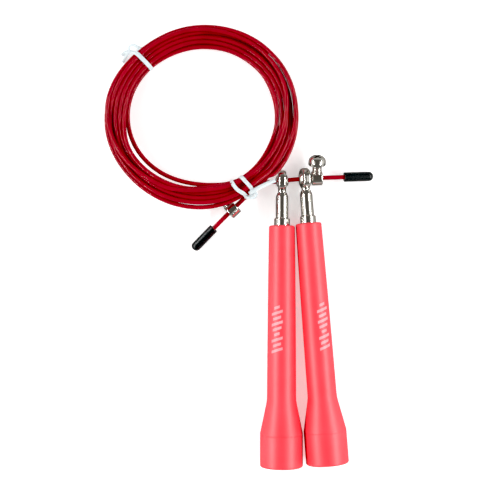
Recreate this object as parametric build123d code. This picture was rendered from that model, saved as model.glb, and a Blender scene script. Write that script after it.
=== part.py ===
"""Speed jump rope, laid flat: two ball-bearing handles, and a coated steel cable tied in a coil.

Millimetres. The floor is Z = 0, +Y runs along the handles towards their eyes, +Z is up.
The origin is on the floor, under the middle of the two handles.
Each handle is built upright in its own frame, its flared end at height 0 and its eye on top,
and is then laid down by handle_place(). Each piece is one STEP file, and its name is the file's.
"""

import math
import os

from build123d import *

# ---------------------------------------------------------------- driving dimensions
# Grip: a hollow tapered tube that flares into a cylinder at its free end.
GRIP_LENGTH = 134.0
FLARE_RADIUS = 11.9
FLARE_LENGTH = 18.4
CONE_TOP = 36.6
GRIP_RADIUS_LOW = 8.12
GRIP_RADIUS_MIDDLE = 7.8
GRIP_RADIUS_TOP = 7.25
GRIP_WALL = 1.8
BOSS_LENGTH = 16.0
RIM_ROUND = 1.0
STEP_DEPTH = 0.15
STEP_WIDTH = 0.5

# End plug: closes the flared end, flush with its rim.
PLUG_PLATE = 2.4
PLUG_SKIRT_LENGTH = 9.0
PLUG_SKIRT_WALL = 1.4

# Sleeve: the steel tube in the top of the grip. It holds the two bearings.
SLEEVE_RADIUS = 3.55
SLEEVE_BORE = 3.0
SLEEVE_TOP = 152.6
SLEEVE_CHAMFER = 2.4
SLEEVE_MOUTH = 2.1
LIP_LENGTH = 2.0
COLLAR_RADIUS = 4.4
COLLAR_HEIGHT = 4.2
SHANK_RADIUS = 4.2
SHANK_LENGTH = 12.0
NUT_BORE = 3.5

# Bearings: 3 x 6 x 2.5 mm miniature ball bearings, two in each handle.
BEARING_BORE = 1.5
BEARING_WIDTH = 2.5
INNER_RACE_RADIUS = 1.98
OUTER_RACE_BORE = 2.52
PITCH_RADIUS = 2.25
BALL_RADIUS = 0.40
GROOVE_RADIUS = 0.43
BALLS_PER_BEARING = 9
CAGE_WALL = 0.30
CAGE_WIDTH = 1.5
POCKET_RADIUS = 0.44
LOWER_BEARING = 129.2
UPPER_BEARING = SLEEVE_TOP - LIP_LENGTH - BEARING_WIDTH

# Eye spindle: a ring with a spherical seat, on a 3 mm shank that runs through the bearings.
EYE_HEIGHT = 159.2
EYE_RADIUS = 6.0
EYE_WIDTH = 4.6
EYE_CROWN = 1.5
NECK_RADIUS = 2.35
NECK_START = 152.95
WASHER_RADIUS = 2.9
WASHER_THICKNESS = 0.5
NUT_ACROSS_FLATS = 5.5
NUT_HOLE = 1.54
NUT_HEIGHT = 2.4

# Swivel ball: sits in the ring and slides on the cable.
SWIVEL_RADIUS = 4.1
SWIVEL_CLEARANCE = 0.05
SWIVEL_HALF_WIDTH = 3.4
SWIVEL_BORE = 1.6

# Cable, and what is on it.
CABLE_RADIUS = 1.25
STOP_RADIUS = 4.1
STOP_LENGTH = 6.1
STOP_BORE = 1.6
STOP_ROUND = 0.8
SCREW_RADIUS = 2.45
SCREW_CLEARANCE = 0.05
SCREW_LENGTH = 7.1
SCREW_HEAD_BASE = 8.7
SCREW_HEAD_RADIUS = 4.9
SCREW_HEAD_HEIGHT = 4.6
SCREW_HEAD_ROUND = 3.2
RECESS_SPAN = 2.6
RECESS_WIDTH = 1.0
RECESS_DEPTH = 2.0
CAP_RADIUS = 2.65
CAP_LENGTH = 16.7
CAP_DEPTH = 10.0
CAP_ROUND = 2.4

# ---------------------------------------------------------------- how it lies
EYE_Z = 6.22
PITCH = math.asin((FLARE_RADIUS - EYE_Z) / (EYE_HEIGHT - FLARE_LENGTH))
LEFT_EYE = (-12.2, 76.08, EYE_Z)
RIGHT_EYE = (0.6, 77.41, EYE_Z)
LEFT_YAW = -0.20
RIGHT_YAW = 4.42
LEFT_RING_TURN = 0.0
RIGHT_RING_TURN = 14.0

# Routes of the cable's two ends, each from inside the coil to inside its end cap.
LEAD_ROUTE = [
    (-32.3, 74.1, 10.8),
    (-25.5, 75.2, 7.4),
    (-17.7, 75.34, 6.11),
    (-3.6, 77.24, 6.39),
    (17.7, 78.14, 5.50),
    (32.65, 78.74, 3.40),
]
TAIL_ROUTE = [
    (-20.5, 78.6, 12.6),
    (-25.0, 74.3, 10.6),
    (-31.0, 68.6, 8.6),
    (-36.3, 63.7, 5.0),
    (-47.1, 53.2, 5.0),
    (-57.6, 42.5, 3.25),
]
LEAD_STOP_AT = 11.0
TAIL_STOP_AT = 5.3
LEAD_SCREW_RISE = 30.0
TAIL_SCREW_RISE = 0.0

# Coil: it leans on the head of the tail's screw, so one side is raised.
COIL_CENTRE = (-57.5, 111.3, 5.75)
COIL_TILT = 6.5
COIL_OUTER = (54.2, 51.8)
COIL_INNER = (40.4, 37.0)
COIL_INNER_SHIFT = (0.7, 1.1)
COIL_THICKNESS = 5.4
COIL_ROUND = 2.0

# Ties: flat plastic-coated wires wound round the coil.
TIE_WIDTH = 2.5
TIE_THICKNESS = 0.9


# ---------------------------------------------------------------- helpers
def turned(corners):
    """A solid of revolution about Z, from its (radius, height) corners."""
    return revolve(Plane.XZ * make_face(Polyline(*corners, close=True)), Axis.Z)


def tube(outer, inner, low, high):
    """A plain tube about Z."""
    return turned([(inner, low), (outer, low), (outer, high), (inner, high)])


def rounded_rim(part, radius, height, size):
    """The part with its circular edge of that radius and height rounded."""
    circles = part.edges().filter_by(GeomType.CIRCLE)
    rim = [e for e in circles if abs(e.radius - radius) < 0.01 and abs(e.arc_center.Z - height) < 0.01]
    return fillet(rim, size)


def rounded_corner(profile, radius, height, size):
    """The flat profile with its corner at that radius and height rounded."""
    place = Vector(radius, height, 0)
    return fillet([v for v in profile.vertices() if (Vector(v) - place).length < 0.01], size)


def along(start, end, distance):
    """The point that far from start towards end, and the direction there."""
    direction = (Vector(*end) - Vector(*start)).normalized()
    return Vector(*start) + direction * distance, direction


def stop_frame(route, run, distance, rise):
    """The frame of a cable stop on one run of a route: X along the cable, Z along its screw."""
    centre, direction = along(route[run], route[run + 1], distance)
    side = Vector(0, 0, 1).cross(direction).normalized()
    if side.Y < 0:
        side = side * -1
    up = direction.cross(side)
    if up.Z < 0:
        up = up * -1
    tilt = math.radians(rise)
    return Plane(origin=centre, x_dir=direction, z_dir=side * math.cos(tilt) + up * math.sin(tilt))


def handle_place(eye, yaw):
    """The frame of a handle lying on the floor: Z along it towards the eye, Y up from the floor."""
    turn = math.radians(yaw)
    flat = math.cos(PITCH)
    towards_eye = Vector(-math.sin(turn) * flat, math.cos(turn) * flat, -math.sin(PITCH))
    sideways = Vector(-math.cos(turn), -math.sin(turn), 0)
    return Plane(origin=Vector(*eye) - towards_eye * EYE_HEIGHT, x_dir=sideways, z_dir=towards_eye)


# ---------------------------------------------------------------- handle pieces
def make_grip():
    boss_base = GRIP_LENGTH - BOSS_LENGTH
    step = FLARE_LENGTH - 1.0
    outline = [
        Polyline(
            (FLARE_RADIUS - GRIP_WALL, 0),
            (FLARE_RADIUS, 0),
            (FLARE_RADIUS, step),
            (FLARE_RADIUS - STEP_DEPTH, step + STEP_WIDTH / 2),
            (FLARE_RADIUS, step + STEP_WIDTH),
            (FLARE_RADIUS, FLARE_LENGTH),
            (GRIP_RADIUS_LOW, CONE_TOP),
        ),
        ThreePointArc(
            (GRIP_RADIUS_LOW, CONE_TOP),
            (GRIP_RADIUS_MIDDLE, (CONE_TOP + GRIP_LENGTH) / 2),
            (GRIP_RADIUS_TOP, GRIP_LENGTH),
        ),
        Polyline(
            (GRIP_RADIUS_TOP, GRIP_LENGTH),
            (SHANK_RADIUS, GRIP_LENGTH),
            (SHANK_RADIUS, boss_base),
            (GRIP_RADIUS_TOP - GRIP_WALL, boss_base),
            (GRIP_RADIUS_LOW - GRIP_WALL, CONE_TOP),
            (FLARE_RADIUS - GRIP_WALL, FLARE_LENGTH),
            (FLARE_RADIUS - GRIP_WALL, 0),
        ),
    ]
    profile = make_face(outline)
    profile = rounded_corner(profile, FLARE_RADIUS, 0, RIM_ROUND)
    profile = rounded_corner(profile, FLARE_RADIUS, FLARE_LENGTH, 2.0)
    profile = rounded_corner(profile, GRIP_RADIUS_LOW, CONE_TOP, 20.0)
    profile = rounded_corner(profile, GRIP_RADIUS_TOP, GRIP_LENGTH, RIM_ROUND)
    return revolve(Plane.XZ * profile, Axis.Z)


def make_end_plug():
    radius = FLARE_RADIUS - GRIP_WALL
    return turned(
        [
            (0, 0),
            (radius, 0),
            (radius, PLUG_SKIRT_LENGTH),
            (radius - PLUG_SKIRT_WALL, PLUG_SKIRT_LENGTH),
            (radius - PLUG_SKIRT_WALL, PLUG_PLATE),
            (0, PLUG_PLATE),
        ]
    )


def make_sleeve():
    base = GRIP_LENGTH - SHANK_LENGTH
    collar_top = GRIP_LENGTH + COLLAR_HEIGHT
    lip_base = SLEEVE_TOP - LIP_LENGTH
    mouth_outer = SLEEVE_MOUTH + 0.55
    sleeve = turned(
        [
            (NUT_BORE, base),
            (SHANK_RADIUS, base),
            (SHANK_RADIUS, GRIP_LENGTH),
            (COLLAR_RADIUS, GRIP_LENGTH),
            (COLLAR_RADIUS, collar_top),
            (SLEEVE_RADIUS, collar_top),
            (SLEEVE_RADIUS, SLEEVE_TOP - SLEEVE_CHAMFER),
            (mouth_outer, SLEEVE_TOP),
            (SLEEVE_MOUTH, SLEEVE_TOP),
            (SLEEVE_MOUTH, lip_base),
            (SLEEVE_BORE, lip_base),
            (SLEEVE_BORE, LOWER_BEARING - WASHER_THICKNESS),
            (NUT_BORE, LOWER_BEARING - WASHER_THICKNESS),
        ]
    )
    return rounded_rim(sleeve, COLLAR_RADIUS, collar_top, 0.7)


def ball_groove(low):
    """The ring that both races' grooves are cut with."""
    return Pos(0, 0, low + BEARING_WIDTH / 2) * Torus(PITCH_RADIUS, GROOVE_RADIUS)


def make_bearings():
    """Outer races, inner races, balls and cages, each for the two bearings of one handle."""
    outer, inner, balls, cages = [], [], [], []
    for low in (LOWER_BEARING, UPPER_BEARING):
        high = low + BEARING_WIDTH
        middle = low + BEARING_WIDTH / 2
        outer.append(tube(SLEEVE_BORE, OUTER_RACE_BORE, low, high) - ball_groove(low))
        inner.append(tube(INNER_RACE_RADIUS, BEARING_BORE, low, high) - ball_groove(low))
        places = PolarLocations(PITCH_RADIUS, BALLS_PER_BEARING)
        row = [Pos(0, 0, middle) * place * Sphere(BALL_RADIUS) for place in places]
        balls.extend(row)
        cage_outer = PITCH_RADIUS + CAGE_WALL / 2
        cage_inner = PITCH_RADIUS - CAGE_WALL / 2
        cage = tube(cage_outer, cage_inner, middle - CAGE_WIDTH / 2, middle + CAGE_WIDTH / 2)
        for place in places:
            pocket = Rot(0, 90, 0) * Cylinder(POCKET_RADIUS, 4 * CAGE_WALL)
            cage -= Pos(0, 0, middle) * place * pocket
        cages.append(cage)
    return outer, inner, balls, cages


def make_lock_nut():
    top = LOWER_BEARING - WASHER_THICKNESS
    hexagon = RegularPolygon(radius=NUT_ACROSS_FLATS / 2, side_count=6, major_radius=False)
    nut = Pos(0, 0, top - NUT_HEIGHT) * extrude(hexagon - Circle(NUT_HOLE), NUT_HEIGHT)
    chamfer_cone = turned([(0, top - NUT_HEIGHT), (2.75, top - NUT_HEIGHT), (3.2, top), (0, top)])
    return nut & chamfer_cone


def make_eye_spindle(ring_turn):
    """The ring's hole runs along X, before the ring is turned about the handle's own axis."""
    half = EYE_WIDTH / 2
    ring = Plane.YZ * extrude(Circle(EYE_RADIUS), half, both=True)
    ring = fillet(ring.edges().filter_by(GeomType.CIRCLE), EYE_CROWN)
    shank_end = LOWER_BEARING - WASHER_THICKNESS - NUT_HEIGHT - 0.6
    drop = EYE_HEIGHT - NECK_START
    shank = turned(
        [
            (0, shank_end - EYE_HEIGHT),
            (BEARING_BORE, shank_end - EYE_HEIGHT),
            (BEARING_BORE, -drop),
            (NECK_RADIUS, -drop),
            (NECK_RADIUS, -drop + 0.6),
            (EYE_WIDTH / 2, -EYE_RADIUS + 1.9),
            (0, -EYE_RADIUS + 1.9),
        ]
    )
    seat = Sphere(SWIVEL_RADIUS + SWIVEL_CLEARANCE)
    return Pos(0, 0, EYE_HEIGHT) * Rot(0, 0, ring_turn) * (ring + shank - seat)


def make_handle(ring_turn):
    """Every piece of one handle but its swivel ball, upright."""
    outer_races, inner_races, balls, cages = make_bearings()
    spacer_low = LOWER_BEARING + BEARING_WIDTH
    washer_low = LOWER_BEARING - WASHER_THICKNESS
    return {
        "grip": make_grip(),
        "end_plug": make_end_plug(),
        "sleeve": make_sleeve(),
        "bearing_outer_races": outer_races,
        "bearing_inner_races": inner_races,
        "bearing_balls": balls,
        "bearing_cages": cages,
        "outer_spacer": tube(SLEEVE_BORE, OUTER_RACE_BORE, spacer_low, UPPER_BEARING),
        "inner_spacer": tube(INNER_RACE_RADIUS, BEARING_BORE, spacer_low, UPPER_BEARING),
        "washer": tube(INNER_RACE_RADIUS + 0.3, BEARING_BORE, washer_low, LOWER_BEARING),
        "lock_nut": make_lock_nut(),
        "eye_spindle": make_eye_spindle(ring_turn),
    }


def make_swivel_ball(eye, direction):
    """A ball with two flats, its bore along the cable."""
    ball = Sphere(SWIVEL_RADIUS) & Box(9, 9, 2 * SWIVEL_HALF_WIDTH)
    ball -= Cylinder(SWIVEL_BORE, 2 * SWIVEL_HALF_WIDTH)
    return Plane(origin=eye, z_dir=direction) * ball


# ---------------------------------------------------------------- cable pieces
def make_cord(name, route):
    """A tube along straight runs joined by arcs as large as the runs allow."""
    points = [Vector(*p) for p in route]
    radii = []
    for before, corner, after in zip(points, points[1:], points[2:]):
        turn = math.radians((corner - before).get_angle(after - corner))
        shorter = min((corner - before).length, (after - corner).length)
        radii.append(0.45 * shorter / math.tan(turn / 2))
    path = FilletPolyline(*points, radius=radii)
    cord = sweep(Plane(origin=path @ 0, z_dir=path % 0) * Circle(CABLE_RADIUS), path)
    expected = math.pi * CABLE_RADIUS**2 * path.length
    print(name, "radii", [round(r, 1) for r in radii], "length", round(path.length, 1))
    print(name, "volume", round(cord.volume, 1), "section x length", round(expected, 1))
    return cord


def make_stop_barrel(frame):
    """A short drum on the cable, with a cross hole for its clamping screw."""
    drum = Rot(0, 90, 0) * Cylinder(STOP_RADIUS, STOP_LENGTH)
    drum = fillet(drum.edges().filter_by(GeomType.CIRCLE), STOP_ROUND)
    drum -= Rot(0, 90, 0) * Cylinder(STOP_BORE, STOP_LENGTH)
    drum -= Pos(0, 0, STOP_RADIUS / 2) * Cylinder(SCREW_RADIUS + SCREW_CLEARANCE, STOP_RADIUS)
    return frame * drum


def make_stop_screw(frame):
    """A screw with a tall domed head and a cross recess. Its thread is a plain cylinder."""
    tip = SCREW_HEAD_BASE - SCREW_LENGTH
    crown = SCREW_HEAD_BASE + SCREW_HEAD_HEIGHT
    shank = turned(
        [
            (0, tip),
            (SCREW_RADIUS - 0.4, tip),
            (SCREW_RADIUS, tip + 0.4),
            (SCREW_RADIUS, SCREW_HEAD_BASE),
            (0, SCREW_HEAD_BASE),
        ]
    )
    head = turned(
        [
            (0, SCREW_HEAD_BASE),
            (SCREW_HEAD_RADIUS, SCREW_HEAD_BASE),
            (SCREW_HEAD_RADIUS, crown),
            (0, crown),
        ]
    )
    head = rounded_rim(head, SCREW_HEAD_RADIUS, crown, SCREW_HEAD_ROUND)
    recess_centre = crown - RECESS_DEPTH / 2
    for turn in (45, 135):
        slot = Rot(0, 0, turn) * Box(2 * RECESS_SPAN, RECESS_WIDTH, RECESS_DEPTH)
        head -= Pos(0, 0, recess_centre) * slot
    return frame * (head + shank)


def make_end_cap(route):
    """A blind cap pushed over the cable's end, with a rounded tip."""
    end, direction = along(route[-1], route[-2], 0)
    cap = turned([(0, 0), (CAP_RADIUS, 0), (CAP_RADIUS, CAP_LENGTH), (0, CAP_LENGTH)])
    cap = rounded_rim(cap, CAP_RADIUS, 0, CAP_ROUND)
    cap = rounded_rim(cap, CAP_RADIUS, CAP_LENGTH, 0.4)
    solid_tip = CAP_LENGTH - CAP_DEPTH
    cap -= Pos(0, 0, solid_tip + CAP_DEPTH / 2) * Cylinder(CABLE_RADIUS, CAP_DEPTH)
    return Plane(origin=end - direction * solid_tip, z_dir=direction) * cap


# The coil's own frame: its plane leans by COIL_TILT, raised towards the handles.
COIL_FRAME = Location(COIL_CENTRE, (-COIL_TILT, 0, 0))


def make_coil():
    hole = Pos(*COIL_INNER_SHIFT) * Ellipse(*COIL_INNER)
    coil = extrude(Ellipse(*COIL_OUTER) - hole, COIL_THICKNESS)
    flat_edges = coil.edges().filter_by(GeomType.ELLIPSE)
    return COIL_FRAME * fillet(flat_edges, COIL_ROUND)


def tie_band(centre, direction, length):
    """A flat band wound once round the coil, in the coil's frame."""
    outer = Box(length + 2 * TIE_THICKNESS, TIE_WIDTH, COIL_THICKNESS + 2 * TIE_THICKNESS)
    inner = Box(length, TIE_WIDTH, COIL_THICKNESS)
    return Pos(*centre, COIL_THICKNESS / 2) * Rot(0, 0, direction) * (outer - inner)


def tie_strip(start, end):
    """A straight flat strip between two points."""
    path = Line(start, end)
    frame = Plane(origin=path @ 0, x_dir=(path % 0).cross(Vector(0, 0, 1)), z_dir=path % 0)
    return sweep(frame * Rectangle(TIE_WIDTH, TIE_THICKNESS), path)


def make_upper_tie():
    band = COIL_FRAME * tie_band((-32.2, 32.2), 135, 15.0)
    knot = Pos(-93.6, 149.6, 4.0) * Rot(0, 0, 20) * Box(6.0, 4.0, 3.0)
    tails = tie_strip((-94.0, 149.5, 4.4), (-102.4, 143.9, 3.0))
    tails += tie_strip((-94.0, 149.9, 3.4), (-102.6, 147.6, 2.2))
    return band + knot + tails


def make_lower_tie():
    bands = COIL_FRAME * tie_band((21.5, -40.6), -46, 15.6)
    bands += COIL_FRAME * tie_band((26.3, -36.9), -50, 15.6)
    fold = Pos(-28.6, 67.6, 13.0) * Rot(0, 0, 30) * Box(5.0, 4.0, 3.0)
    tail = tie_strip((-28.0, 69.0, 13.2), (-17.0, 75.6, 10.5))
    return bands + fold + tail


# ---------------------------------------------------------------- build and write
def build():
    """Every node by name, laid in place. A node of several solids is a list."""
    nodes = {}
    sides = {
        "left": (LEFT_EYE, LEFT_YAW, LEFT_RING_TURN, 2),
        "right": (RIGHT_EYE, RIGHT_YAW, RIGHT_RING_TURN, 3),
    }
    for side, (eye, yaw, ring_turn, run) in sides.items():
        place = handle_place(eye, yaw)
        for name, made in make_handle(ring_turn).items():
            pieces = made if isinstance(made, list) else [made]
            nodes[f"{side}_{name}"] = [place * piece for piece in pieces]
        cable_direction = along(LEAD_ROUTE[run], LEAD_ROUTE[run + 1], 0)[1]
        nodes[f"{side}_swivel_ball"] = [make_swivel_ball(eye, cable_direction)]

    ends = {
        "lead": (LEAD_ROUTE, 3, LEAD_STOP_AT, LEAD_SCREW_RISE),
        "tail": (TAIL_ROUTE, 3, TAIL_STOP_AT, TAIL_SCREW_RISE),
    }
    for end, (route, run, distance, rise) in ends.items():
        frame = stop_frame(route, run, distance, rise)
        nodes[f"cable_{end}"] = [make_cord(f"cable_{end}", route)]
        nodes[f"{end}_stop_barrel"] = [make_stop_barrel(frame)]
        nodes[f"{end}_stop_screw"] = [make_stop_screw(frame)]
        nodes[f"{end}_end_cap"] = [make_end_cap(route)]
    nodes["cable_coil"] = [make_coil()]
    nodes["upper_tie"] = [make_upper_tie()]
    nodes["lower_tie"] = [make_lower_tie()]
    return nodes


def main():
    os.makedirs("parts", exist_ok=True)
    for name, pieces in build().items():
        solids = [solid for piece in pieces for solid in piece.solids()]
        part = solids[0] if len(solids) == 1 else Compound(children=solids)
        export_step(part, f"parts/{name}.step")


main()
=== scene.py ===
"""Jump rope with ball-bearing handles and a coiled, coated cable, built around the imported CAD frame."""

import math

import bmesh
import bpy
import numpy as np
from mathutils import Matrix, Vector


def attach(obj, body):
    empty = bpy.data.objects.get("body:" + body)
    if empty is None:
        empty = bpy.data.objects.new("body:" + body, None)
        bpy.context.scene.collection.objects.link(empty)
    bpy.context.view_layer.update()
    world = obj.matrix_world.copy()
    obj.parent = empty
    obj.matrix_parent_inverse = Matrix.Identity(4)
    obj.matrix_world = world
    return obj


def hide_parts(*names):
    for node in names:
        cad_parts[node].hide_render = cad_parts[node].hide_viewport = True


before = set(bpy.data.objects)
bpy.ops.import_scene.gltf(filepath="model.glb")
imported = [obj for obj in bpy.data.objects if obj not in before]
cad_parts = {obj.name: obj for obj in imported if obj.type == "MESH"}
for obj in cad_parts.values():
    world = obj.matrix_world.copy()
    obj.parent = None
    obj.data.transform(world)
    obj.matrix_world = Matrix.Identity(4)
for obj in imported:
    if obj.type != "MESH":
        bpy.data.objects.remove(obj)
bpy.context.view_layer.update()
MM = 0.001

# ---------------------------------------------------------------- sizes and places, in millimetres
# These repeat part.py's values, except the rolls and the one point marked below.
EYE_Z = 6.22
EYE_HEIGHT = 159.2
FLARE_RADIUS = 11.9
FLARE_LENGTH = 18.4
GRIP_LENGTH = 134.0
PITCH = math.asin((FLARE_RADIUS - EYE_Z) / (EYE_HEIGHT - FLARE_LENGTH))
# The ring's centre, the handle's yaw on the floor and the roll of the print on the grip, in degrees.
SIDES = {
    "left": {"eye": (-12.2, 76.08, EYE_Z), "yaw": -0.20, "roll": -22.0},
    "right": {"eye": (0.6, 77.41, EYE_Z), "yaw": 4.42, "roll": 27.0},
}
LEAD_ROUTE = [
    (-32.3, 74.1, 10.8),
    (-25.5, 75.2, 7.4),
    (-17.7, 75.34, 6.11),
    (-3.6, 77.24, 6.39),
    (15.4, 78.04, 5.60),  # an added point, on the straight stretch that the stop slides along
    (17.7, 78.14, 5.50),
    (32.65, 78.74, 3.40),
]
TAIL_ROUTE = [
    (-20.5, 78.6, 12.6),
    (-25.0, 74.3, 10.6),
    (-31.0, 68.6, 8.6),
    (-36.3, 63.7, 5.0),
    (-47.1, 53.2, 5.0),
    (-57.6, 42.5, 3.25),
]
CABLE_RADIUS = 1.25
COIL_CENTRE = (-57.5, 111.3, 5.75)
COIL_TILT = math.radians(6.5)


# ---------------------------------------------------------------- small geometry helpers
def frame_matrix(origin, x_dir, z_dir):
    """A 4x4 matrix in metres from an origin in millimetres and two directions."""
    z = Vector(z_dir).normalized()
    x = (Vector(x_dir) - z * Vector(x_dir).dot(z)).normalized()
    y = z.cross(x)
    m = Matrix((x, y, z)).transposed().to_4x4()
    m.translation = Vector(origin) * MM
    return m


def handle_matrix(side):
    """The handle's own frame: origin at its flared end, Z towards the eye, Y up from the floor."""
    eye = Vector(SIDES[side]["eye"])
    turn = math.radians(SIDES[side]["yaw"])
    flat = math.cos(PITCH)
    axis = Vector((-math.sin(turn) * flat, math.cos(turn) * flat, -math.sin(PITCH)))
    sideways = Vector((-math.cos(turn), -math.sin(turn), 0))
    return frame_matrix(eye - axis * EYE_HEIGHT, sideways, axis)


def softened(corners):
    """Profile points from (radius, height, rounding) corners, each rounded corner as a small arc."""
    points = []
    count = len(corners)
    for i, corner in enumerate(corners):
        here = Vector(corner[:2])
        size = corner[2] if len(corner) > 2 else 0
        if not size:
            points.append(here)
            continue
        before = (Vector(corners[i - 1][:2]) - here).normalized()
        after = (Vector(corners[(i + 1) % count][:2]) - here).normalized()
        half = before.angle(after) / 2
        reach = size / math.tan(half)
        centre = here + (before + after).normalized() * (size / math.sin(half))
        start = here + before * reach - centre
        end = here + after * reach - centre
        sweep = start.angle(end)
        steps = max(2, int(math.degrees(sweep) / 9))
        for s in range(steps + 1):
            t = s / steps
            a = math.sin((1 - t) * sweep) / math.sin(sweep)
            b = math.sin(t * sweep) / math.sin(sweep)
            points.append(centre + start * a + end * b)
    return points


def new_object(name, data):
    obj = bpy.data.objects.new(name, data)
    bpy.context.scene.collection.objects.link(obj)
    return obj


def shade(mesh, angle=32):
    """Smooth shading, with edges sharper than angle (degrees) kept."""
    mesh.shade_smooth()
    mesh.set_sharp_from_angle(angle=math.radians(angle))


def finished(bm, name, place=None, angle=32):
    """A shaded mesh made from bm, moved by the matrix place."""
    mesh = bpy.data.meshes.new(name)
    bm.to_mesh(mesh)
    bm.free()
    if place:
        mesh.transform(place)
    shade(mesh, angle)
    return mesh


def lathe(name, profile, matrix, segments=128, closed=True):
    """A mesh turned about its own Z from (radius, height) points in millimetres."""
    bm = bmesh.new()
    rows = []
    for radius, height in profile:
        if radius < 1e-6:
            rows.append([bm.verts.new((0, 0, height * MM))])
            continue
        row = []
        reach = radius * MM
        for i in range(segments):
            a = 2 * math.pi * i / segments
            row.append(bm.verts.new((reach * math.cos(a), reach * math.sin(a), height * MM)))
        rows.append(row)
    pairs = list(zip(rows, rows[1:]))
    if closed:
        pairs.append((rows[-1], rows[0]))
    for low, high in pairs:
        for i in range(segments):
            j = (i + 1) % segments
            if len(low) == 1 and len(high) == 1:
                continue
            if len(low) == 1:
                bm.faces.new((low[0], high[j], high[i]))
            elif len(high) == 1:
                bm.faces.new((low[i], low[j], high[0]))
            else:
                bm.faces.new((low[i], low[j], high[j], high[i]))
    bmesh.ops.recalc_face_normals(bm, faces=bm.faces)
    return new_object(name, finished(bm, name, matrix))


# ---------------------------------------------------------------- materials
def material(name):
    mat = bpy.data.materials.new(name)
    mat.use_nodes = True
    nodes = mat.node_tree.nodes
    return mat, nodes, mat.node_tree.links, nodes["Principled BSDF"]


def noise(nodes, links, scale, detail):
    """A noise texture in the piece's own coordinates, which are in metres."""
    place = nodes.new("ShaderNodeTexCoord")
    tex = nodes.new("ShaderNodeTexNoise")
    tex.inputs["Scale"].default_value = scale
    tex.inputs["Detail"].default_value = detail
    links.new(place.outputs["Object"], tex.inputs["Vector"])
    return tex


def ramp(nodes, links, source, stops):
    """A colour ramp on a factor, from (position, colour) stops."""
    node = nodes.new("ShaderNodeValToRGB")
    while len(node.color_ramp.elements) < len(stops):
        node.color_ramp.elements.new(0.5)
    for element, (position, colour) in zip(node.color_ramp.elements, stops):
        element.position = position
        element.color = (*colour, 1)
    links.new(source, node.inputs["Fac"])
    return node


def spread(nodes, links, source, low, high):
    """A factor from 0 to 1 spread between two values."""
    node = nodes.new("ShaderNodeMapRange")
    node.inputs["To Min"].default_value = low
    node.inputs["To Max"].default_value = high
    links.new(source, node.inputs["Value"])
    return node


def bump(nodes, links, source, shader, strength, distance):
    """Bumps of a depth in metres, on the shader's normal."""
    node = nodes.new("ShaderNodeBump")
    node.inputs["Strength"].default_value = strength
    node.inputs["Distance"].default_value = distance
    links.new(source, node.inputs["Height"])
    links.new(node.outputs["Normal"], shader.inputs["Normal"])


def metal(name, colour, roughness):
    """Plated metal: faint cloudiness in colour and gloss, and hairline marks."""
    mat, nodes, links, shader = material(name)
    shader.inputs["Metallic"].default_value = 1.0
    cloud = noise(nodes, links, 260.0, 4.0)
    darker = tuple(c * 0.86 for c in colour)
    tint = ramp(nodes, links, cloud.outputs["Fac"], [(0.35, darker), (0.65, colour)])
    links.new(tint.outputs["Color"], shader.inputs["Base Color"])
    fine = noise(nodes, links, 900.0, 2.0)
    gloss = spread(nodes, links, fine.outputs["Fac"], roughness * 0.7, roughness * 1.4)
    links.new(gloss.outputs["Result"], shader.inputs["Roughness"])
    bump(nodes, links, fine.outputs["Fac"], shader, 0.08, 0.00002)
    return mat


NICKEL = metal("nickel_plate", (0.80, 0.78, 0.73), 0.12)
STEEL = metal("ground_steel", (0.70, 0.71, 0.72), 0.24)
ZINC = metal("zinc_plate", (0.74, 0.74, 0.73), 0.22)


def jacket_material():
    """Glossy red PVC with slight clouds of colour and a faint extruded unevenness."""
    mat, nodes, links, shader = material("red_pvc")
    cloud = noise(nodes, links, 120.0, 4.0)
    dark, light = (0.32, 0.008, 0.019), (0.41, 0.010, 0.025)
    tint = ramp(nodes, links, cloud.outputs["Fac"], [(0.3, dark), (0.7, light)])
    links.new(tint.outputs["Color"], shader.inputs["Base Color"])
    fine = noise(nodes, links, 1400.0, 2.0)
    gloss = spread(nodes, links, fine.outputs["Fac"], 0.05, 0.08)
    links.new(gloss.outputs["Result"], shader.inputs["Roughness"])
    shader.inputs["IOR"].default_value = 1.31
    bump(nodes, links, fine.outputs["Fac"], shader, 0.05, 0.00003)
    return mat


def grip_material():
    """Coral red plastic with a fine moulded grain."""
    mat, nodes, links, shader = material("coral_plastic")
    cloud = noise(nodes, links, 90.0, 5.0)
    dark, light = (0.88, 0.042, 0.066), (0.95, 0.052, 0.080)
    tint = ramp(nodes, links, cloud.outputs["Fac"], [(0.3, dark), (0.7, light)])
    links.new(tint.outputs["Color"], shader.inputs["Base Color"])
    grain = noise(nodes, links, 1500.0, 3.0)
    gloss = spread(nodes, links, grain.outputs["Fac"], 0.40, 0.54)
    links.new(gloss.outputs["Result"], shader.inputs["Roughness"])
    shader.inputs["IOR"].default_value = 1.78
    bump(nodes, links, grain.outputs["Fac"], shader, 0.18, 0.00004)
    return mat


def plain_plastic(name, dark, light, roughness, strength=0.15):
    """Plastic with slight clouds between two colours and a fine grain."""
    mat, nodes, links, shader = material(name)
    cloud = noise(nodes, links, 150.0, 4.0)
    tint = ramp(nodes, links, cloud.outputs["Fac"], [(0.3, dark), (0.7, light)])
    links.new(tint.outputs["Color"], shader.inputs["Base Color"])
    fine = noise(nodes, links, 1200.0, 3.0)
    gloss = spread(nodes, links, fine.outputs["Fac"], roughness * 0.8, roughness * 1.2)
    links.new(gloss.outputs["Result"], shader.inputs["Roughness"])
    bump(nodes, links, fine.outputs["Fac"], shader, strength, 0.00004)
    return mat


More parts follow.
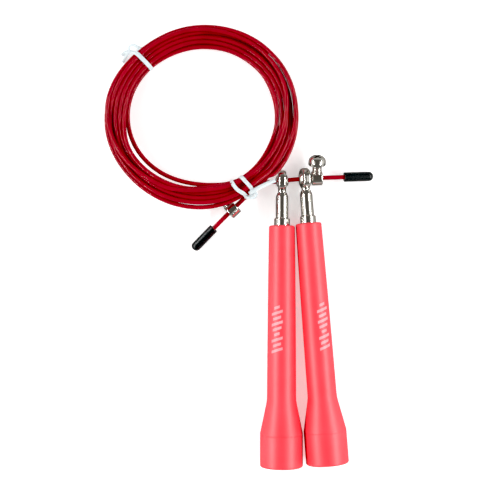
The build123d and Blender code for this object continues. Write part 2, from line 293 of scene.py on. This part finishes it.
JACKET = jacket_material()
GRIP = grip_material()
PLUG = plain_plastic("plug_plastic", (0.62, 0.014, 0.030), (0.70, 0.020, 0.040), 0.45)
VINYL = plain_plastic("black_vinyl", (0.003, 0.005, 0.006), (0.006, 0.010, 0.011), 0.27, strength=0.05)
TIE = plain_plastic("tie_plastic", (0.70, 0.80, 0.84), (0.80, 0.87, 0.89), 0.30)
INK = plain_plastic("pale_pink_ink", (0.86, 0.34, 0.38), (0.92, 0.42, 0.46), 0.42)

CAD_MATERIALS = {
    "sleeve": NICKEL,
    "eye_spindle": NICKEL,
    "swivel_ball": NICKEL,
    "stop_barrel": NICKEL,
    "stop_screw": NICKEL,
    "bearing_outer_races": STEEL,
    "bearing_inner_races": STEEL,
    "bearing_balls": STEEL,
    "bearing_cages": ZINC,
    "outer_spacer": ZINC,
    "inner_spacer": ZINC,
    "washer": ZINC,
    "lock_nut": ZINC,
    "end_plug": PLUG,
    "grip": GRIP,
    "end_cap": VINYL,
    "tie": TIE,
}
for node_name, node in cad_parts.items():
    kind = node_name.split("_", 1)[1]
    node.data.materials.clear()
    node.data.materials.append(CAD_MATERIALS.get(kind, JACKET))


# ---------------------------------------------------------------- the cable
TURNS = 10
STATIONS = 24
START_ANGLE = -68.0
SPACING = 2 * CABLE_RADIUS + 0.03
LAYER = 2.15
FLOOR_GAP = 0.15
# The gap between the innermost turn and the rest, where it stands off from them.
CRESCENT = 1.7
INNERMOST = 3
# These two turns cross over the top, to the inside and back.
CROSSES_IN = 7
CROSSES_BACK = 8
CROSSED_TO = 0.2
SETTLING_STEPS = 260
SMOOTHING_STEPS = 235


def bulge(angle, at, width):
    """A smooth hump of height 1 round the coil, at one angle in degrees."""
    off = (angle - at + 180) % 360 - 180
    return math.exp(-((off / width) ** 2))


def inner_edge(angle):
    """The coil's inner edge: an oval, pushed out where the lower tie gathers the turns."""
    a = math.radians(angle)
    oval = 39.1 + 0.5 * math.cos(a) + 1.5 * math.sin(a) + 1.5 * math.cos(2 * a)
    return oval + 3.0 * bulge(angle, 303, 24)


def outer_edge(angle):
    """The outer edge: the turns fan out at the upper right and are drawn in at both ties."""
    a = math.radians(angle)
    oval = 53.7 + 0.3 * math.sin(a) + 0.9 * math.cos(2 * a)
    drawn_in = 3.6 * bulge(angle, 302, 11) + 1.9 * bulge(angle, 131, 26)
    return oval + 1.5 * bulge(angle, 42, 26) - 0.9 * bulge(angle, 232, 24) - drawn_in


def eased(value, low, high):
    """A smooth step from 0 at low to 1 at high."""
    t = min(max((value - low) / (high - low), 0), 1)
    return t * t * (3 - 2 * t)


# Lanes across the coil's section, as (part of the width, layer): in along the bottom, out over the top.
LANES = [
    (0.75, 0), (0.5, 0), (0.25, 0), (0.0, 0), (0.08, 1),
    (0.3, 1), (0.52, 1), (0.75, 1), (1.0, 1), (1.0, 0), (1.0, -0.3),
]


def first_guess(turn, station):
    """Where one turn lies in the coil's section at one station: (radius, height)."""
    angle = START_ANGLE - 360 * station / STATIONS
    part = station / STATIONS
    (a, la), (b, lb) = LANES[turn], LANES[turn + 1]
    t = eased(part, 0.05, 0.95)
    across = a + (b - a) * t
    layer = la + (lb - la) * t
    travelled = 360 * part
    if turn == CROSSES_IN:
        over = eased(travelled, 215, 330)
        across += (CROSSED_TO - across) * over
        layer += over
    if turn == CROSSES_BACK:
        back = 1 - eased(travelled, 20, 130)
        across += (CROSSED_TO - across) * back
        layer += back
    low = inner_edge(angle) + CABLE_RADIUS
    high = outer_edge(angle) - CABLE_RADIUS
    return low + (high - low) * across, FLOOR_GAP + CABLE_RADIUS + LAYER * layer


def settle():
    """Every turn's (radius, height) at every station, pushed apart until no two turns overlap."""
    target = np.array([[first_guess(k, s) for s in range(STATIONS)] for k in range(TURNS)])
    rng = np.random.default_rng(7)
    waves = np.linspace(0, 2 * math.pi, STATIONS, endpoint=False)
    for k in range(TURNS):
        for cycles in (2, 3, 5):
            target[k, :, 0] += rng.uniform(0.1, 0.45) * np.sin(cycles * waves + rng.uniform(0, 6.28))
    place = target.copy()
    angles = [START_ANGLE - 360 * s / STATIONS for s in range(STATIONS)]
    low = np.array([inner_edge(a) + CABLE_RADIUS for a in angles])
    high = np.array([outer_edge(a) - CABLE_RADIUS for a in angles])
    # The innermost turn stands off from the others on the lower left.
    travelled = [360 * s / STATIONS for s in range(STATIONS)]
    apart = np.array([eased(t, 1, 38) * (1 - eased(t, 82, 126)) for t in travelled])
    inner = low[None, :].repeat(TURNS, 0)
    inner += (2 * CABLE_RADIUS + CRESCENT) * apart[None, :]
    inner[INNERMOST] = low
    for step in range(SETTLING_STEPS):
        flat = place.reshape(-1, 2)
        line = np.concatenate([flat[:1], flat, flat[-1:]])
        pull = 0.5 * (line[:-2] + line[2:]) - flat
        if step < SMOOTHING_STEPS:
            flat += 0.22 * pull
        place = flat.reshape(TURNS, STATIONS, 2)
        place[:, :, 0] += 0.03 * (target[:, :, 0] - place[:, :, 0])
        place[:, :, 1] -= 0.04
        for _ in range(3):
            for i in range(TURNS):
                for j in range(i + 1, TURNS):
                    gap = place[j] - place[i]
                    far = np.maximum(np.hypot(gap[:, 0], gap[:, 1]), 1e-3)
                    push = np.maximum(SPACING - far, 0)[:, None] * gap / far[:, None] * 0.5
                    place[i] -= push
                    place[j] += push
            place[:, :, 0] = np.clip(place[:, :, 0], inner, high[None, :])
            place[INNERMOST, :, 0] += (low - place[INNERMOST, :, 0]) * apart
            place[:, :, 1] = np.maximum(place[:, :, 1], CABLE_RADIUS + FLOOR_GAP)
    return place


def coil_points():
    """The coil's control points in millimetres, clockwise from the lead to the tail."""
    place = settle()
    # A spline's points lie a little outside the curve that they shape.
    bow = 1 + (2 * math.pi / STATIONS) ** 2 / 8
    points = []
    for k in range(TURNS):
        for s in range(STATIONS):
            if k == TURNS - 1 and s > STATIONS - 2:
                break
            radius, height = place[k, s]
            angle = math.radians(START_ANGLE - 360 * s / STATIONS)
            x = radius * bow * math.cos(angle)
            y = radius * bow * math.sin(angle)
            along = y * math.cos(COIL_TILT) + height * math.sin(COIL_TILT)
            up = -y * math.sin(COIL_TILT) + height * math.cos(COIL_TILT)
            points.append((COIL_CENTRE[0] + x, COIL_CENTRE[1] + along, COIL_CENTRE[2] + up))
    return points


COIL_POINTS = coil_points()


def make_cable():
    """The whole cable as one spline, from the lead's end through the coil to the tail's end."""
    points = LEAD_ROUTE[::-1] + COIL_POINTS + TAIL_ROUTE
    curve = bpy.data.curves.new("cable", "CURVE")
    curve.dimensions = "3D"
    spline = curve.splines.new("NURBS")
    spline.points.add(len(points) - 1)
    for point, place in zip(spline.points, points):
        point.co = (place[0] * MM, place[1] * MM, place[2] * MM, 1)
    spline.order_u = 3
    spline.use_endpoint_u = True
    spline.resolution_u = 5
    curve.bevel_depth = CABLE_RADIUS * MM
    curve.bevel_resolution = 5
    curve.use_fill_caps = True
    curve.materials.append(JACKET)
    cable = new_object("cable", curve)
    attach(cable, "rope")
    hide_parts("cable_coil", "cable_lead", "cable_tail")
    return cable


cable = make_cable()


# ---------------------------------------------------------------- handles
CONE_TOP = 36.6
GRIP_RADIUS_LOW = 8.12
GRIP_RADIUS_MIDDLE = 7.8
GRIP_RADIUS_TOP = 7.25
SHANK_RADIUS = 4.2
COLLAR_RADIUS = 4.4
SLEEVE_RADIUS = 3.55
NUT_BORE = 3.5
SLEEVE_BORE = 3.0
SLEEVE_MOUTH = 2.1
SLEEVE_TOP = 152.6
SOCKET_END = 118.0
PLUG_RADIUS = 10.1
BAR_REACHES = (3.3, 2.4, 3.3, 1.6, 2.6)
BAR_COUNT = 9
BARS_START = 64.0
BARS_LENGTH = 26.5
BAR_SLANT = 0.32
BAR_SHARE = 0.52


def upper_radius(along):
    """The grip's radius above its cone, which bows out slightly between its two ends."""
    t = (along - CONE_TOP) / (GRIP_LENGTH - CONE_TOP)
    ends = GRIP_RADIUS_LOW * (1 - t) * (1 - 2 * t) + GRIP_RADIUS_TOP * t * (2 * t - 1)
    return ends + GRIP_RADIUS_MIDDLE * 4 * t * (1 - t)


def grip_corners():
    """The hollow grip's outline: the flare with its groove, the cone, the upper part and the inside."""
    step = FLARE_LENGTH - 1.0
    corners = [
        (FLARE_RADIUS - 1.8, 0), (FLARE_RADIUS, 0, 1.0), (FLARE_RADIUS, step, 0.08),
        (FLARE_RADIUS - 0.1, step + 0.15, 0.05), (FLARE_RADIUS - 0.1, step + 0.35, 0.05),
        (FLARE_RADIUS, step + 0.5, 0.08), (FLARE_RADIUS, FLARE_LENGTH, 2.0),
        (GRIP_RADIUS_LOW, CONE_TOP, 20.0),
    ]
    for i in range(1, 16):
        along = CONE_TOP + (GRIP_LENGTH - CONE_TOP) * i / 16
        corners.append((upper_radius(along), along))
    return corners + [
        (GRIP_RADIUS_TOP, GRIP_LENGTH, 1.0), (SHANK_RADIUS, GRIP_LENGTH, 0.15),
        (SHANK_RADIUS, SOCKET_END), (5.45, SOCKET_END), (6.32, CONE_TOP), (PLUG_RADIUS, FLARE_LENGTH),
    ]


# Outlines as (radius, height, rounding).
PLUG_PROFILE = [
    (0, 0.55), (5.0, 0.55), (5.3, 0.15, 0.1), (8.9, 0.15, 0.2), (9.4, 0.0, 0.2),
    (PLUG_RADIUS, 0.12, 0.1), (PLUG_RADIUS, 9.0), (8.7, 9.0), (8.7, 2.4), (0, 2.4),
]
SLEEVE_PROFILE = [
    (NUT_BORE, 122.0), (SHANK_RADIUS, 122.0, 0.2), (SHANK_RADIUS, 134.02),
    (COLLAR_RADIUS, 134.02, 0.1), (COLLAR_RADIUS, 138.2, 0.7), (3.75, 138.2, 0.12),
    (SLEEVE_RADIUS, 138.45, 0.12), (SLEEVE_RADIUS, 150.2, 1.2), (2.65, SLEEVE_TOP, 0.3),
    (SLEEVE_MOUTH, SLEEVE_TOP, 0.15), (SLEEVE_MOUTH, 150.6), (SLEEVE_BORE, 150.6),
    (SLEEVE_BORE, 129.2), (NUT_BORE, 129.2),
]


def print_bars(name, place, roll):
    """A generic row of slanted bars printed round the front of the grip."""
    bm = bmesh.new()
    pitch = BARS_LENGTH / BAR_COUNT
    columns, rows = 14, 3
    for i in range(BAR_COUNT):
        reach = BAR_REACHES[i % len(BAR_REACHES)]
        low = BARS_START + i * pitch
        grid = []
        for lift in (0.0, 0.045):
            sheet = []
            for c in range(columns + 1):
                across = (2 * c / columns - 1) * reach
                row = []
                for r in range(rows + 1):
                    along = low + BAR_SLANT * across + r / rows * pitch * BAR_SHARE
                    radius = upper_radius(along) + lift - 0.01
                    angle = math.radians(90 + roll) + across / radius
                    row.append(bm.verts.new(
                        Vector((radius * math.cos(angle), radius * math.sin(angle), along)) * MM
                    ))
                sheet.append(row)
            grid.append(sheet)
        low_sheet, top_sheet = grid
        for c in range(columns):
            for r in range(rows):
                for sheet in grid:
                    bm.faces.new((sheet[c][r], sheet[c + 1][r], sheet[c + 1][r + 1], sheet[c][r + 1]))
        rim = [(c, 0) for c in range(columns)] + [(columns, r) for r in range(rows)]
        rim += [(c, rows) for c in range(columns, 0, -1)] + [(0, r) for r in range(rows, 0, -1)]
        for (c, r), (d, q) in zip(rim, rim[1:] + rim[:1]):
            bm.faces.new((low_sheet[c][r], low_sheet[d][q], top_sheet[d][q], top_sheet[c][r]))
    bmesh.ops.recalc_face_normals(bm, faces=bm.faces)
    mesh = finished(bm, name, place)
    mesh.materials.append(INK)
    return new_object(name, mesh)


def handle_piece(side, name, profile, mat, node, closed=True, segments=128):
    """A turned piece of one handle, which stands for its CAD node."""
    obj = lathe(f"{side}_{name}", softened(profile), handle_matrix(side), segments, closed)
    obj.data.materials.append(mat)
    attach(obj, f"{side}_handle")
    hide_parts(f"{side}_{node}")


for side in SIDES:
    handle_piece(side, "grip_shell", grip_corners(), GRIP, "grip", segments=160)
    handle_piece(side, "plug", PLUG_PROFILE, PLUG, "end_plug", closed=False)
    handle_piece(side, "sleeve_tube", SLEEVE_PROFILE, NICKEL, "sleeve")
    bars = print_bars(f"{side}_grip_print", handle_matrix(side), SIDES[side]["roll"])
    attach(bars, f"{side}_handle")


# ---------------------------------------------------------------- screw threads
def thread(name, centre, axis, body):
    """A helical thread round a stop screw's shank, between its head and the drum."""
    low, high, pitch, root, depth = 3.4, 8.75, 0.8, 2.40, 0.24
    around, per_pitch = 48, 8
    rows = int((high - low) / pitch * per_pitch)
    bm = bmesh.new()
    rings = []
    for r in range(rows + 1):
        height = low + (high - low) * r / rows
        ring = []
        for i in range(around):
            phase = (height / pitch - i / around) % 1
            crest = min(1, max(0, 2.4 * (1 - abs(2 * phase - 1)) - 0.7))
            radius = (root + depth * crest) * MM
            angle = 2 * math.pi * i / around
            ring.append(bm.verts.new((radius * math.cos(angle), radius * math.sin(angle), height * MM)))
        rings.append(ring)
    for below, above in zip(rings, rings[1:]):
        for i in range(around):
            j = (i + 1) % around
            bm.faces.new((below[i], below[j], above[j], above[i]))
    bm.faces.new(rings[0][::-1])
    bm.faces.new(rings[-1])
    mesh = finished(bm, name, frame_matrix(centre, (1, 0, 0), axis), 50)
    mesh.materials.append(NICKEL)
    obj = new_object(name, mesh)
    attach(obj, body)


thread("lead_screw_thread", (7.38, 77.70, 5.93), (-0.0157, 0.8661, 0.4996), "lead_screw")
thread("tail_screw_thread", (-40.10, 60.01, 5.0), (-0.6971, 0.7170, 0.0), "tail_screw")


# ---------------------------------------------------------------- twist ties
def cable_line():
    """The cable's own line in millimetres, read from its spline."""
    curve = cable.data.copy()
    curve.bevel_depth = 0
    line_object = new_object("line", curve)
    bpy.context.view_layer.update()
    depsgraph = bpy.context.evaluated_depsgraph_get()
    mesh = bpy.data.meshes.new_from_object(line_object.evaluated_get(depsgraph))
    line = np.array([v.co[:] for v in mesh.vertices]) / MM
    bpy.data.objects.remove(line_object)
    bpy.data.meshes.remove(mesh)
    bpy.data.curves.remove(curve)
    return line


LINE = cable_line()
COIL_UP = Vector((0, math.sin(COIL_TILT), math.cos(COIL_TILT)))
# How far from its centre a band looks for turns to hold, and its points.
BAND_REACH = 13.0
BAND_POINTS = 90
PER_SPAN = 10
WIRE_WIDTH = 0.3


def convex_hull(points):
    """The outline of a set of points, anticlockwise."""
    points = sorted(set(points))

    def half(ordered):
        chain = []
        for p in ordered:
            while len(chain) > 1:
                (ax, ay), (bx, by) = chain[-2:]
                if (bx - ax) * (p[1] - ay) - (by - ay) * (p[0] - ax) > 0:
                    break
                chain.pop()
            chain.append(p)
        return chain[:-1]

    return half(points) + half(points[::-1])


def evenly(points, count):
    """A closed loop of points spaced evenly along it."""
    ring = points + points[:1]
    lengths = [0.0]
    for a, b in zip(ring, ring[1:]):
        lengths.append(lengths[-1] + math.dist(a, b))
    out = []
    k = 0
    for i in range(count):
        want = lengths[-1] * i / count
        while lengths[k + 1] < want:
            k += 1
        t = (want - lengths[k]) / max(lengths[k + 1] - lengths[k], 1e-9)
        out.append(tuple(p + (q - p) * t for p, q in zip(ring[k], ring[k + 1])))
    return out


def band_loop(centre, heading, gap, bow=0.0):
    """A loop drawn tight round the turns, in the upright plane through centre along heading.

    The heading is in degrees. Returns the loop's points and the directions that point out of it."""
    turn = math.radians(heading)
    along = Vector((math.cos(turn), math.sin(turn), 0))
    along = (along - COIL_UP * along.dot(COIL_UP)).normalized()
    across = COIL_UP.cross(along)
    middle = Vector(centre)
    hits = []
    for a, b in zip(LINE, LINE[1:]):
        a, b = Vector(a) - middle, Vector(b) - middle
        da, db = a.dot(across), b.dot(across)
        if da * db < 0:
            hit = a.lerp(b, da / (da - db))
            if hit.length < BAND_REACH:
                hits.append((hit.dot(along), hit.dot(COIL_UP)))
    clear = CABLE_RADIUS + gap
    circle = [
        (round(u + clear * math.cos(w), 4), round(h + clear * math.sin(w), 4))
        for u, h in hits
        for w in (2 * math.pi * k / 20 for k in range(20))
    ]
    loop = evenly(convex_hull(circle), BAND_POINTS)
    low = min(u for u, h in loop)
    high = max(u for u, h in loop)
    points, outward = [], []
    for i, (u, h) in enumerate(loop):
        (pu, ph), (nu, nh) = loop[i - 1], loop[(i + 1) % len(loop)]
        bend = bow * math.sin(math.pi * (u - low) / (high - low))
        points.append(middle + along * u + COIL_UP * h + across * bend)
        outward.append((along * (nh - ph) - COIL_UP * (nu - pu)).normalized())
    return points, outward


def through(points):
    """A smooth line through the given points."""
    ends = [points[0] * 2 - points[1]] + points + [points[-1] * 2 - points[-2]]
    out = []
    for a, b, c, d in zip(ends, ends[1:], ends[2:], ends[3:]):
        for s in range(PER_SPAN):
            t = s / PER_SPAN
            bend = t * (2 * a - 5 * b + 4 * c - d + t * (3 * (b - c) + d - a))
            out.append(b + 0.5 * t * (c - a + bend))
    return out + [points[-1]]


def add_ribbon(bm, points, outward, width, thickness=0.36, closed=False):
    """A flat tie with a wire down its middle, swept along points with its face turned outward."""
    half = width / 2
    edge = thickness / 2
    wire = WIRE_WIDTH
    top = [
        (half, 0.0), (half - 0.09, edge * 0.8), (0.5 * half, edge), (wire, edge * 1.05),
        (0.6 * wire, edge + 0.14), (0, edge + 0.2), (-0.6 * wire, edge + 0.14), (-wire, edge * 1.05),
        (-0.5 * half, edge), (-half + 0.09, edge * 0.8), (-half, 0.0),
    ]
    section = top + [(-w, -n) for w, n in top[1:-1]]
    rings = []
    count = len(points)
    for i, (point, out) in enumerate(zip(points, outward)):
        before = points[i - 1] if i or closed else point
        after = points[(i + 1) % count] if i < count - 1 or closed else point
        forward = (after - before).normalized()
        normal = (out - forward * out.dot(forward)).normalized()
        side = forward.cross(normal)
        rings.append([bm.verts.new((point + side * w + normal * n) * MM) for w, n in section])
    pairs = list(zip(rings, rings[1:])) + ([(rings[-1], rings[0])] if closed else [])
    size = len(section)
    for here, there in pairs:
        for i in range(size):
            j = (i + 1) % size
            bm.faces.new((here[i], here[j], there[j], there[i]))
    if not closed:
        bm.faces.new(rings[0][::-1])
        bm.faces.new(rings[-1])


def blended(normals):
    """Directions that turn smoothly between those at the given points."""
    out = []
    for a, b in zip(normals, normals[1:]):
        for s in range(PER_SPAN):
            out.append(a.lerp(b, s / PER_SPAN).normalized())
    return out + [normals[-1].normalized()]


def add_strip(bm, stops, width, **extra):
    """A ribbon through (point, outward) stops."""
    points = through([Vector(p) for p, _ in stops])
    add_ribbon(bm, points, blended([Vector(n) for _, n in stops]), width, **extra)


def finish_tie(bm, name, node):
    """A tie's object, which rides the rope and stands for its CAD node."""
    bmesh.ops.recalc_face_normals(bm, faces=bm.faces)
    mesh = finished(bm, name, angle=50)
    mesh.materials.append(TIE)
    obj = new_object(name, mesh)
    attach(obj, "rope")
    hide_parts(node)
    return obj


def twist(bm, start, end, turns, radius, width):
    """Two lengths of tie twisted round each other from start to end."""
    start, end = Vector(start), Vector(end)
    axis = (end - start).normalized()
    side = axis.orthogonal().normalized()
    up = axis.cross(side)
    steps = 44
    for half in (0, math.pi):
        points, outward = [], []
        for s in range(steps + 1):
            t = s / steps
            a = half + 2 * math.pi * turns * t
            out = side * math.cos(a) + up * math.sin(a)
            points.append(start.lerp(end, t) + out * radius)
            outward.append(out)
        add_ribbon(bm, points, outward, width, thickness=0.34)


def make_upper_tie():
    """One band round the coil's upper left, with a twist, a loop and two loose ends outside it."""
    bm = bmesh.new()
    add_ribbon(bm, *band_loop((-89.6, 143.1, 4.6), -44, 0.3), 2.4, closed=True)
    twist(bm, (-95.2, 148.2, 4.6), (-91.4, 150.5, 5.0), 1.1, 0.7, 1.9)
    add_strip(bm, [
        ((-91.6, 150.6, 5.0), (0, 0.3, 1)),
        ((-93.6, 151.6, 5.3), (0, 0.3, 1)),
        ((-96.2, 152.9, 4.6), (-0.3, 0.6, 1)),
        ((-98.4, 151.9, 3.6), (-0.8, 0.4, 0.9)),
        ((-98.6, 149.8, 2.6), (-0.7, 0, 1)),
        ((-100.2, 147.2, 1.6), (-0.2, 0.1, 1)),
        ((-102.5, 143.6, 0.9), (0, 0, 1)),
    ], 2.1, thickness=0.26)
    add_strip(bm, [
        ((-94.9, 148.4, 4.0), (-0.4, 0.4, 1)),
        ((-96.9, 149.1, 3.4), (-0.4, 0.4, 1)),
        ((-99.2, 149.6, 2.1), (-0.1, 0.3, 1)),
        ((-101.2, 149.0, 1.2), (0.1, 0.2, 1)),
        ((-103.0, 147.6, 0.8), (0, 0, 1)),
    ], 2.3, thickness=0.26)
    return finish_tie(bm, "upper_twist_tie", "upper_tie")


def make_lower_tie():
    """Two bands round the coil's bottom, joined by a fold and a twist, with one loose end."""
    bm = bmesh.new()
    add_ribbon(bm, *band_loop((-35.0, 70.6, 13.0), -43, 0.3, bow=-1.9), 2.15, closed=True)
    add_ribbon(bm, *band_loop((-32.1, 73.9, 12.7), -48, 0.3), 2.15, closed=True)
    # The fold that joins both bands outside the coil, and the flat tail that leaves it.
    add_strip(bm, [
        ((-33.0, 66.9, 14.2), (0.2, -0.6, 1)),
        ((-31.2, 66.0, 13.9), (0.1, -0.7, 1)),
        ((-28.9, 65.9, 13.6), (0.1, -0.6, 1)),
        ((-27.2, 67.0, 13.9), (0.2, -0.3, 1)),
        ((-26.7, 68.6, 14.3), (0.2, 0, 1)),
        ((-28.0, 70.0, 14.9), (0, 0.2, 1)),
    ], 1.7)
    add_strip(bm, [
        ((-30.6, 68.4, 14.7), (0, -0.2, 1)),
        ((-28.9, 69.6, 15.3), (0, -0.1, 1)),
        ((-27.0, 70.8, 15.4), (0, 0, 1)),
        ((-23.6, 72.6, 14.5), (0.1, 0, 1)),
        ((-19.6, 74.6, 12.7), (0.1, 0, 1)),
        ((-16.1, 76.2, 11.2), (0.1, 0, 1)),
    ], 2.3, thickness=0.3)
    twist(bm, (-30.6, 66.9, 13.2), (-28.2, 68.6, 13.4), 0.8, 0.6, 1.4)
    return finish_tie(bm, "lower_twist_tie", "lower_tie")


upper_tie = make_upper_tie()
lower_tie = make_lower_tie()


# ---------------------------------------------------------------- floor, lights and camera, in metres
FLOOR_HALF = 0.95
LIT_PLACE = (-0.03, 0.04, 0.0)


def floor_material():
    """Pale floor that glows faintly, with a painted darker grey and no glow where it shows in the
    object's reflections.
    """
    mat, nodes, links, shader = material("floor")
    path = nodes.new("ShaderNodeLightPath")
    # painted reflection: glossy rays see the floor as a darker grey without its glow, so reflections of
    # it on the object show darker
    seen, painted_reflection_grey = (0.94, 0.94, 0.94), (0.34, 0.335, 0.32)
    tint = ramp(nodes, links, path.outputs["Is Glossy Ray"], [(0.0, seen), (1.0, painted_reflection_grey)])
    links.new(tint.outputs["Color"], shader.inputs["Base Color"])
    glow = spread(nodes, links, path.outputs["Is Glossy Ray"], 0.45, 0.0)
    links.new(glow.outputs["Result"], shader.inputs["Emission Strength"])
    shader.inputs["Emission Color"].default_value = (1, 1, 1, 1)
    shader.inputs["Roughness"].default_value = 0.9
    shader.inputs["Specular IOR Level"].default_value = 0.1
    return mat


def make_floor():
    mesh = bpy.data.meshes.new("floor")
    s = FLOOR_HALF
    mesh.from_pydata([(-s, -s, 0), (s, -s, 0), (s, s, 0), (-s, s, 0)], [], [(0, 1, 2, 3)])
    floor = new_object("floor", mesh)
    floor.data.materials.append(floor_material())


def frame_matrix_facing(place, target):
    """A light's frame in metres: -Z towards the target and Y level with the floor."""
    z = (Vector(place) - Vector(target)).normalized()
    y = Vector((0, 1, 0)) - z * z.y
    m = Matrix((y.normalized().cross(z), y.normalized(), z)).transposed().to_4x4()
    m.translation = place
    return m


def area_light(name, place, size, power):
    """A rectangular light aimed at the object, which the camera doesn't see."""
    light = bpy.data.lights.new(name, "AREA")
    light.shape = "RECTANGLE"
    light.size, light.size_y = size
    light.energy = power
    obj = new_object(name, light)
    obj.matrix_world = frame_matrix_facing(place, LIT_PLACE)
    obj.visible_camera = False


def make_world():
    """A studio that is white at the horizon and dim overhead."""
    world = bpy.data.worlds.new("studio")
    world.use_nodes = True
    nodes, links = world.node_tree.nodes, world.node_tree.links
    place = nodes.new("ShaderNodeTexCoord")
    split = nodes.new("ShaderNodeSeparateXYZ")
    links.new(place.outputs["Generated"], split.inputs["Vector"])
    shades = ramp(nodes, links, split.outputs["Z"], [
        (0.0, (1.0, 1.0, 1.0)),
        (0.1, (0.62, 0.61, 0.60)),
        (0.35, (0.17, 0.165, 0.155)),
        (0.9, (0.11, 0.10, 0.09)),
    ])
    links.new(shades.outputs["Color"], nodes["Background"].inputs["Color"])
    nodes["Background"].inputs["Strength"].default_value = 1.0
    bpy.context.scene.world = world


make_floor()
make_world()
for name, side in (("left", -1), ("right", 1)):
    area_light(f"{name}_softbox", (side * 0.67 - 0.03, 0.04, 0.52), (0.75, 1.0), 1.6)
    area_light(f"{name}_strip", (side * 0.62 - 0.03, 0.04, 0.49), (0.055, 1.1), 5.2)

camera_data = bpy.data.cameras.new("camera")
camera_data.lens = 70.96
camera_data.sensor_width = 36.0
camera = new_object("camera", camera_data)
camera.location = (-0.0302, 0.0373, 0.560)
bpy.context.scene.camera = camera
# Standard view with slightly deeper blacks, as in a catalogue picture.
view = bpy.context.scene.view_settings
view.view_transform = "Standard"
view.use_curve_mapping = True
view.curve_mapping.black_level = (0.018, 0.018, 0.018)
view.curve_mapping.update()

bpy.context.view_layer.update()
